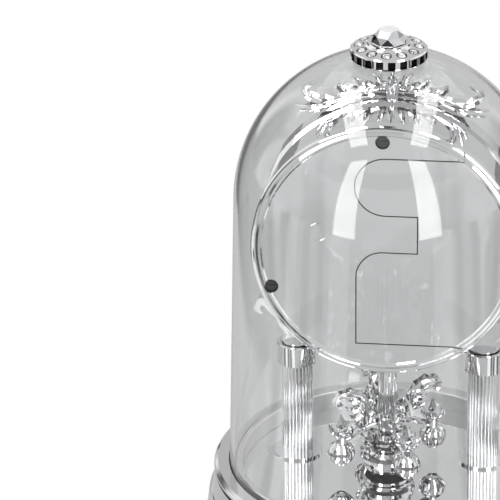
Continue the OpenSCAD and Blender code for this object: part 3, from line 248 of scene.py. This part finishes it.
# The plated base
# One hollow moulding in three steps, plated bright silver all over. The ring inside its ledge centres
# the dome, and the well inside that holds the mirror deck. The wall of the well is satin, and painted
# paler as painted light. The ledge under the dome's foot and the groove round the side are painted black
# as painted shade.
def surface_marks():
    """Fine marks of a handled surface: slow waves or a grain, specks of dust, and smears."""
    group = bpy.data.node_groups.new("surface_marks", "ShaderNodeTree")
    sockets = group.interface
    for label, value in (("Wave Size", 60.0), ("Dust Size", 900.0), ("Dust Amount", 0.3)):
        sockets.new_socket(label, in_out="INPUT", socket_type="NodeSocketFloat").default_value = value
    for label in ("Wave", "Dust", "Smear"):
        sockets.new_socket(label, in_out="OUTPUT", socket_type="NodeSocketFloat")
    start = group.nodes.new("NodeGroupInput")
    end = group.nodes.new("NodeGroupOutput")
    place = group.nodes.new("ShaderNodeTexCoord")
    wave, dust, smear = [group.nodes.new("ShaderNodeTexNoise") for _ in range(3)]
    wave.inputs["Detail"].default_value = 2
    dust.inputs["Detail"].default_value = 3
    smear.inputs["Scale"].default_value = 45
    smear.inputs["Detail"].default_value = 5
    smear.inputs["Distortion"].default_value = 1.2
    speck = group.nodes.new("ShaderNodeMapRange")
    speck.inputs["From Min"].default_value = 0.62
    speck.inputs["From Max"].default_value = 0.78
    for noise in (wave, dust, smear):
        group.links.new(place.outputs["Object"], noise.inputs["Vector"])
    group.links.new(start.outputs["Wave Size"], wave.inputs["Scale"])
    group.links.new(start.outputs["Dust Size"], dust.inputs["Scale"])
    group.links.new(dust.outputs["Fac"], speck.inputs["Value"])
    amount = maths(group, "MULTIPLY", speck.outputs[0], start.outputs["Dust Amount"])
    group.links.new(wave.outputs["Fac"], end.inputs["Wave"])
    group.links.new(amount, end.inputs["Dust"])
    group.links.new(smear.outputs["Fac"], end.inputs["Smear"])
    return group


marks = surface_marks()


def mark_surface(material, wave_size, dust, clean, dusty, smear_range, gloss, bump_share, depth):
    """Puts dust in a material's colour, smears in its gloss and waves or a fine grain in its face."""
    tree = material.node_tree
    shader = tree.nodes["Principled BSDF"]
    use = tree.nodes.new("ShaderNodeGroup")
    use.node_tree = marks
    use.inputs["Wave Size"].default_value = wave_size
    use.inputs["Dust Amount"].default_value = dust
    tint = tree.nodes.new("ShaderNodeMix")
    tint.data_type = "RGBA"
    tint.inputs["A"].default_value = clean
    tint.inputs["B"].default_value = dusty
    spread = tree.nodes.new("ShaderNodeMapRange")
    for socket, value in zip(("From Min", "From Max", "To Min", "To Max"), (*smear_range, *gloss)):
        spread.inputs[socket].default_value = value
    bump = tree.nodes.new("ShaderNodeBump")
    bump.inputs["Strength"].default_value = bump_share
    bump.inputs["Distance"].default_value = depth
    tree.links.new(use.outputs["Dust"], tint.inputs["Factor"])
    tree.links.new(tint.outputs["Result"], shader.inputs["Base Color"])
    tree.links.new(use.outputs["Smear"], spread.inputs["Value"])
    tree.links.new(spread.outputs[0], shader.inputs["Roughness"])
    tree.links.new(use.outputs["Wave"], bump.inputs["Height"])
    tree.links.new(bump.outputs[0], shader.inputs["Normal"])


def plated(name, tone=0.78, smooth=0.05, rough=0.16, wave_size=60.0, wave_depth=0.00002, dust=0.25):
    """Bright silver plating over a moulding: a mirror with slow waves, faint smears and dust."""
    material = bpy.data.materials.new(name)
    material.use_nodes = True
    material.node_tree.nodes["Principled BSDF"].inputs["Metallic"].default_value = 1.0
    clean = (tone, tone, tone * 1.01, 1)
    dusty = (tone * 0.82, tone * 0.81, tone * 0.8, 1)
    mark_surface(material, wave_size=wave_size, dust=dust, clean=clean, dusty=dusty,
                 smear_range=(0.35, 0.75), gloss=(smooth, rough), bump_share=0.6, depth=wave_depth)
    return material


def dress(names, material):
    """Gives these CAD nodes a material in every slot."""
    for name in names.split():
        slots = node[name].data.materials
        slots.clear()
        slots.append(material)


def round_axis(tree, across=(1, 1, 0), middle=(0, 0, 0)):
    """The distance from an axis through a point, and the place on the piece in X, Y and Z."""
    place = tree.nodes.new("ShaderNodeTexCoord")
    parts = tree.nodes.new("ShaderNodeSeparateXYZ")
    flat = tree.nodes.new("ShaderNodeVectorMath")
    flat.operation = "MULTIPLY_ADD"
    flat.inputs[1].default_value = across
    flat.inputs[2].default_value = [-share * at for share, at in zip(across, middle)]
    length = tree.nodes.new("ShaderNodeVectorMath")
    length.operation = "LENGTH"
    tree.links.new(place.outputs["Object"], parts.inputs[0])
    tree.links.new(place.outputs["Object"], flat.inputs[0])
    tree.links.new(flat.outputs[0], length.inputs[0])
    return length.outputs["Value"], parts.outputs


def change_where(tree, mask, socket_name, value):
    """Blends a socket of the shader to a grey or a number where the mask is 1."""
    socket = tree.nodes["Principled BSDF"].inputs[socket_name]
    tree.links.new(blend_grey(tree, mask, socket.links[0].from_socket, value), socket)


base_plating = plated("base_plating", tone=0.76, smooth=0.06, rough=0.2,
                      wave_size=26.0, wave_depth=0.00005)
base_look = base_plating.node_tree
base_round, base_place = round_axis(base_look)
well_radius, well_floor = 0.0609, 0.031
# The well wall's paler tone is painted light; its higher roughness is a satin finish.
well_painted_light_tone, well_rough = 0.97, 0.38
ledge_in, ledge_out, ledge_low, ledge_high = 0.063, 0.0661, 0.0371, 0.03805
groove_in, groove_out, groove_low, groove_high = 0.0682, 0.0722, 0.03365, 0.0356
# The ledge under the dome's foot and the groove round the side are painted near black as painted shade.
ledge_painted_shade, groove_painted_shade = 0.05, 0.012
well_wall = maths(base_look, "MULTIPLY",
                  rise_over(base_look, base_round, well_radius + 0.0002, well_radius),
                  rise_over(base_look, base_place["Z"], well_floor - 0.001, well_floor))
ledge = maths(base_look, "MULTIPLY",
              band(base_look, base_round, ledge_in - 0.0001, ledge_in,
                   ledge_out, ledge_out + 0.0001),
              band(base_look, base_place["Z"], ledge_low - 0.0001, ledge_low,
                   ledge_high, ledge_high + 0.0001))
side_groove = maths(base_look, "MULTIPLY",
                    band(base_look, base_round, groove_in - 0.0002, groove_in,
                         groove_out, groove_out + 0.0003),
                    band(base_look, base_place["Z"], groove_low - 0.00005, groove_low,
                         groove_high, groove_high + 0.0001))
change_where(base_look, well_wall, "Base Color", well_painted_light_tone)
change_where(base_look, well_wall, "Roughness", well_rough)
change_where(base_look, ledge, "Base Color", ledge_painted_shade)
change_where(base_look, side_groove, "Base Color", groove_painted_shade)
dress("base_shell", base_plating)


# The bottom plate, its screws and the feet
# A black moulded disc closes the base. Four soft rubber pads under it carry the clock.
def plain(name, colour, smooth, rough, metal=0.0, grain=900.0, depth=0.00001, coat=0.0):
    """A moulded, painted or machined surface with a fine grain and uneven gloss."""
    material = bpy.data.materials.new(name)
    material.use_nodes = True
    shader = material.node_tree.nodes["Principled BSDF"]
    shader.inputs["Metallic"].default_value = metal
    shader.inputs["Coat Weight"].default_value = coat
    clean = (*colour, 1)
    dusty = (*[part * 0.7 + 0.12 for part in colour], 1)
    mark_surface(material, wave_size=grain, dust=0.35, clean=clean, dusty=dusty,
                 smear_range=(0.3, 0.8), gloss=(smooth, rough), bump_share=0.8, depth=depth)
    return material


black_moulding = plain("black_moulding", (0.022, 0.022, 0.024), 0.38, 0.6, grain=1400.0, depth=0.00002)
zinc_steel = plain("zinc_steel", (0.55, 0.56, 0.57), 0.25, 0.45, metal=1.0, grain=1800.0)
soft_rubber = plain("soft_rubber", (0.028, 0.028, 0.028), 0.7, 0.9, grain=2600.0, depth=0.00003)
dress("bottom_cover", black_moulding)
dress("base_screws", zinc_steel)
dress("rubber_feet", soft_rubber)

# The mirror deck
# A polished mirror disc laid in the well of the base, which doubles the pendulum.
mirror_sheet = plated("mirror_sheet", tone=0.85, smooth=0.015, rough=0.04,
                      wave_size=14.0, wave_depth=0.00001, dust=0.35)
dress("deck_plate", mirror_sheet)

# The columns
# Reeded tubes between a thin ring and a plain cap, held by a steel rod with a nut under the base.
column_plating = plated("column_plating", tone=0.82, smooth=0.04, rough=0.1,
                        wave_size=220.0, wave_depth=0.00004)
cap_plating = plated("cap_plating", tone=0.8, smooth=0.04, rough=0.1,
                     wave_size=60.0, wave_depth=0.00003)
dress("column_left column_right", column_plating)
dress("column_rings column_caps", cap_plating)
dress("tie_rods tie_nuts", zinc_steel)

# The case
# A plated front frame with lens and dial, a drum behind it, and a back cover with the battery door.
# The narrow gap round the door is painted black as painted shade, and the screws in their holes are dark.
case_plating = plated("case_plating", tone=0.8, smooth=0.02, rough=0.06,
                      wave_size=40.0, wave_depth=0.00004)
cover_plating = plated("cover_plating", tone=0.86, smooth=0.02, rough=0.06,
                       wave_size=90.0, wave_depth=0.00006)
ornament_plating = plated("ornament_plating", tone=0.84, smooth=0.02, rough=0.05,
                          wave_size=300.0, wave_depth=0.00003)
dark_screws = plain("dark_screws", (0.05, 0.05, 0.052), 0.3, 0.5, metal=0.6)
dial_card = plain("dial_card", (0.93, 0.92, 0.89), 0.45, 0.6, grain=2200.0)
case_middle = (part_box("case_drum")[0].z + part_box("case_drum")[1].z) / 2
gap_top, gap_floor = 0.0138, 0.0134
panel_radius = 0.0495
# The floor of the narrow gap round the door is painted near black as painted shade.
door_gap_painted_shade = 0.012
cover_look = cover_plating.node_tree
cover_round, cover_place = round_axis(cover_look, across=(1, 0, 1), middle=(0, 0, case_middle))
door_gap_shade_mask = maths(cover_look, "MULTIPLY",
                  rise_over(cover_look, cover_place["Y"], gap_top, gap_floor),
                  rise_over(cover_look, cover_round, panel_radius, panel_radius - 0.0005))
change_where(cover_look, door_gap_shade_mask, "Base Color", door_gap_painted_shade)
dress("front_frame case_drum dial_ring", case_plating)
dress("back_cover battery_door", cover_plating)
dress("crest bracket_left bracket_right", ornament_plating)
dress("case_screws", dark_screws)
dress("dial", dial_card)


def clear(name, colour=(1, 1, 1)):
    """A clear polished wall of acrylic with faint smears."""
    material = bpy.data.materials.new(name)
    material.use_nodes = True
    tree = material.node_tree
    glass = tree.nodes["Principled BSDF"]
    glass.inputs["Transmission Weight"].default_value = 1.0
    glass.inputs["Metallic"].default_value = 0.0
    glass.inputs["IOR"].default_value = 1.49
    glass.inputs["Base Color"].default_value = (*colour, 1)
    use = tree.nodes.new("ShaderNodeGroup")
    use.node_tree = marks
    use.inputs["Wave Size"].default_value = 8.0
    spread = tree.nodes.new("ShaderNodeMapRange")
    for socket, value in (("From Min", 0.5), ("From Max", 0.9), ("To Min", 0.0), ("To Max", 0.02)):
        spread.inputs[socket].default_value = value
    tree.links.new(use.outputs["Smear"], spread.inputs["Value"])
    tree.links.new(spread.outputs[0], glass.inputs["Roughness"])
    return material


dress("lens", clear("lens_clear"))

# The movement and the motion work
# A black quartz movement with its dry cell, brass wheels and arbors, and plain black hands.
brass = plain("brass", (0.74, 0.55, 0.24), 0.2, 0.36, metal=1.0, grain=1600.0)
hand_paint = plain("hand_paint", (0.012, 0.012, 0.013), 0.25, 0.4, coat=0.3)
cell_sleeve = plain("cell_sleeve", (0.07, 0.075, 0.08), 0.22, 0.34, metal=0.3, coat=0.4)
coil_wire = plain("coil_wire", (0.52, 0.2, 0.07), 0.25, 0.4, metal=0.8, grain=3000.0, depth=0.00005)
magnet = plain("magnet", (0.06, 0.06, 0.065), 0.4, 0.6, metal=0.5)
dress("movement_case movement_back set_knob drive_housing", black_moulding)
dress("fixing_nut drive_bearing hand_nut minute_arbor hour_wheel minute_wheel", brass)
dress("minute_hand hour_hand", hand_paint)
dress("battery_cell", cell_sleeve)
dress("battery_contacts pendulum_spindle finial_screw finial_washer", zinc_steel)
dress("drive_coil", coil_wire)
dress("rotor_magnet", magnet)

# The pendulum
# A fluted rod with a weighted cup and four leaf scrolls, each with a ball and a cut crystal.
# All of it is moulded and plated but the crystals, which are acrylic with a silvered back.
pendulum_plating = plated("pendulum_plating", tone=0.78, smooth=0.03, rough=0.08,
                          wave_size=260.0, wave_depth=0.00005)
dress("pendulum_rod hub_calyx calyx_leaves hub_cup arm_hub", pendulum_plating)
dress("scroll_arm_1 scroll_arm_2 scroll_arm_3 scroll_arm_4", pendulum_plating)
dress("ball_cup_1 ball_cup_2 ball_cup_3 ball_cup_4 leaf_crowns", pendulum_plating)


def cut_stone(name, dark_reflection_share, clearness):
    """A cut stone with a silvered back, its facets painted white, grey or black by the way that each
    faces, as painted reflections.
    """
    facet_step = 0.09
    material = bpy.data.materials.new(name)
    material.use_nodes = True
    tree = material.node_tree
    stone = tree.nodes["Principled BSDF"]
    stone.inputs["Roughness"].default_value = 0.02
    stone.inputs["Metallic"].default_value = 0.6
    stone.inputs["IOR"].default_value = 1.6
    stone.inputs["Transmission Weight"].default_value = clearness
    stone.inputs["Coat Weight"].default_value = 0.6
    face = tree.nodes.new("ShaderNodeNewGeometry")
    snap = tree.nodes.new("ShaderNodeVectorMath")
    snap.operation = "SNAP"
    snap.inputs[1].default_value = (facet_step, facet_step, facet_step)
    chance = tree.nodes.new("ShaderNodeTexWhiteNoise")
    # Each facet gets a white, grey or black base colour by the way it faces: painted reflections of the
    # room.
    tone = tree.nodes.new("ShaderNodeValToRGB")
    tone.color_ramp.interpolation = "CONSTANT"
    black, pale_painted_reflection = tone.color_ramp.elements
    black.color = (0.02, 0.02, 0.02, 1)
    pale_painted_reflection.position = dark_reflection_share
    pale_painted_reflection.color = (0.93, 0.94, 0.95, 1)
    grey_painted_reflection = tone.color_ramp.elements.new(dark_reflection_share + 0.35)
    grey_painted_reflection.color = (0.55, 0.56, 0.58, 1)
    white_painted_reflection = tone.color_ramp.elements.new(dark_reflection_share + 0.6)
    white_painted_reflection.color = (0.97, 0.97, 0.98, 1)
    tree.links.new(face.outputs["True Normal"], snap.inputs[0])
    tree.links.new(snap.outputs[0], chance.inputs["Vector"])
    tree.links.new(chance.outputs["Value"], tone.inputs[0])
    tree.links.new(tone.outputs[0], stone.inputs["Base Color"])
    return material


dress("pendulum_crystals", cut_stone("spear_crystal", 0.1, 0.7))
dress("finial_stones finial_crystal", cut_stone("finial_crystal", 0.12, 0.3))

# The print on the dial
# Plain black numbers and a minute track, printed on the card in one thin coat.
print_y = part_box("dial")[0].y
print_coat = 0.00005
number_ring, number_size = 0.0375, 0.0105
track_in, track_out = 0.0445, 0.0462
minute_wide, hour_wide, hour_longer = 0.0003, 0.0009, 1.8
rim_gap, rim_wide = 0.0003, 0.00012
dial_ink = plain("dial_ink", (0.015, 0.015, 0.016), 0.45, 0.6, grain=2600.0)
upright = math.radians(90)


def on_dial(bearing, reach):
    """A place on the dial's face, by its bearing from twelve and its distance from the middle."""
    return reach * math.sin(bearing), print_y, case_middle + reach * math.cos(bearing)


dial_marks = []
for hour in range(1, 13):
    bpy.ops.object.select_all(action="DESELECT")
    bpy.ops.object.text_add(location=on_dial(math.radians(30 * hour), number_ring),
                            rotation=(upright, 0, 0))
    number = bpy.context.object
    number.data.body = str(hour)
    number.data.size = number_size
    number.data.extrude = print_coat
    number.data.align_x, number.data.align_y = "CENTER", "CENTER"
    bpy.ops.object.convert(target="MESH")
    bpy.ops.object.transform_apply(location=True, rotation=True, scale=True)
    dial_marks.append(bpy.context.object)
for minute in range(60):
    bearing = math.radians(6 * minute)
    on_hour = minute % 5 == 0
    length = (hour_longer if on_hour else 1) * (track_out - track_in)
    bpy.ops.object.select_all(action="DESELECT")
    bpy.ops.mesh.primitive_cube_add(size=1, location=on_dial(bearing, track_out - length / 2))
    stroke = bpy.context.object
    stroke.scale = (hour_wide if on_hour else minute_wide, 2 * print_coat, length)
    stroke.rotation_euler = (0, bearing, 0)
    bpy.ops.object.transform_apply(location=True, rotation=True, scale=True)
    dial_marks.append(stroke)
bpy.ops.object.select_all(action="DESELECT")
bpy.ops.mesh.primitive_torus_add(
    major_segments=128, minor_segments=8, major_radius=track_out + rim_gap, minor_radius=rim_wide,
    location=on_dial(0, 0), rotation=(upright, 0, 0))
bpy.ops.object.transform_apply(location=True, rotation=True, scale=True)
dial_marks.append(bpy.context.object)
for mark in dial_marks:
    mark.select_set(True)
bpy.ops.object.join()
dial_print = bpy.context.object
dial_print.name = "dial_print"
dial_print.data.materials.clear()
dial_print.data.materials.append(dial_ink)
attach(dial_print, "clock")

# The setting on top of the dome
# A plated ring with pierced windows in its wall and a seat for each small stone.
# The windows, and the sunk line round each stone, are painted black as painted shade.
finial_plating = plated("finial_plating", tone=0.88, smooth=0.03, rough=0.08,
                        wave_size=260.0, wave_depth=0.00004)
setting_look = finial_plating.node_tree
setting_round, setting_place = round_axis(setting_look)
wall_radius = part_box("finial_setting")[1].x
wall_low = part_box("finial_setting")[0].z
# The insides of the windows and the sunk line round each stone are painted near black as painted shade.
window_depth, window_high, window_painted_shade = 0.0009, wall_low + 0.0042, 0.012
stone_ring, half_stone_angle = 0.0119, math.radians(15)
seat_in, seat_out, seat_painted_shade = 0.00175, 0.0021, 0.03
seat_low = wall_low + 0.00485
windows = maths(setting_look, "MULTIPLY",
                rise_over(setting_look, setting_round, wall_radius - 0.0006, wall_radius - window_depth),
                rise_over(setting_look, setting_place["Z"], window_high + 0.0001, window_high))
bearing_round = maths(setting_look, "ARCTAN2", setting_place["Y"], setting_place["X"])
from_stone = maths(setting_look, "WRAP", bearing_round, half_stone_angle, -half_stone_angle)
beside = maths(setting_look, "MULTIPLY", setting_round, maths(setting_look, "SINE", from_stone))
outward = maths(setting_look, "MULTIPLY", setting_round, maths(setting_look, "COSINE", from_stone))
outward = maths(setting_look, "SUBTRACT", outward, stone_ring)
off_stone = maths(setting_look, "SQRT", maths(setting_look, "ADD",
                                              maths(setting_look, "MULTIPLY", beside, beside),
                                              maths(setting_look, "MULTIPLY", outward, outward)))
seats = maths(setting_look, "MULTIPLY",
              band(setting_look, off_stone, seat_in - 0.00005, seat_in, seat_out, seat_out + 0.0001),
              rise_over(setting_look, setting_place["Z"], seat_low, seat_low + 0.00005))
change_where(setting_look, seats, "Base Color", seat_painted_shade)
change_where(setting_look, windows, "Base Color", window_painted_shade)
dress("finial_setting", finial_plating)

# The dome
# A clear moulded shell, open and slightly flared below, with a hole in its top for the setting's screw.
# It stands free on the ledge of the base and lifts straight off.
dome_low, dome_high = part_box("glass_dome")
dome_radius = 0.06247
dome_wall = 0.002
dome_middle = dome_high.z - dome_radius
dome_widens = dome_high.x / dome_radius
hole_radius = 0.0035
tolerance = 0.0001
bpy.ops.object.select_all(action="DESELECT")
bpy.ops.mesh.primitive_uv_sphere_add(segments=144, ring_count=96, radius=dome_radius,
                                     location=(0, 0, dome_middle))
clear_dome = bpy.context.object
clear_dome.name = "clear_dome"
bpy.ops.object.transform_apply(location=True, rotation=False, scale=False)
bpy.ops.object.mode_set(mode="EDIT")
bpy.ops.mesh.select_all(action="SELECT")
bpy.ops.mesh.bisect(plane_co=(0, 0, dome_middle), plane_no=(0, 0, 1), clear_inner=True,
                    threshold=0.1 * tolerance)
bpy.ops.object.mode_set(mode="OBJECT")
for edge in clear_dome.data.edges:
    ends = [clear_dome.data.vertices[v].co.z for v in edge.vertices]
    edge.select = max(ends) < dome_middle + tolerance
bpy.ops.object.mode_set(mode="EDIT")
bpy.ops.mesh.select_mode(type="EDGE")
bpy.ops.mesh.extrude_edges_move(TRANSFORM_OT_translate={"value": (0, 0, dome_low.z - dome_middle)})
bpy.ops.transform.resize(value=(dome_widens, dome_widens, 1), center_override=(0, 0, dome_low.z))
bpy.ops.mesh.select_all(action="DESELECT")
bpy.ops.object.mode_set(mode="OBJECT")
for corner in clear_dome.data.vertices:
    corner.select = corner.co.xy.length < hole_radius
bpy.ops.object.mode_set(mode="EDIT")
bpy.ops.mesh.select_mode(type="VERT")
bpy.ops.mesh.delete(type="VERT")
bpy.ops.object.mode_set(mode="OBJECT")
wall = clear_dome.modifiers.new("wall", "SOLIDIFY")
wall.thickness = dome_wall
wall.offset = -1
bpy.ops.object.modifier_apply(modifier="wall")
bpy.ops.object.shade_smooth_by_angle(angle=math.radians(30))
clear_dome.data.materials.append(clear("dome_clear", colour=(0.985, 0.99, 0.99)))
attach(clear_dome, "dome")
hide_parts("glass_dome")
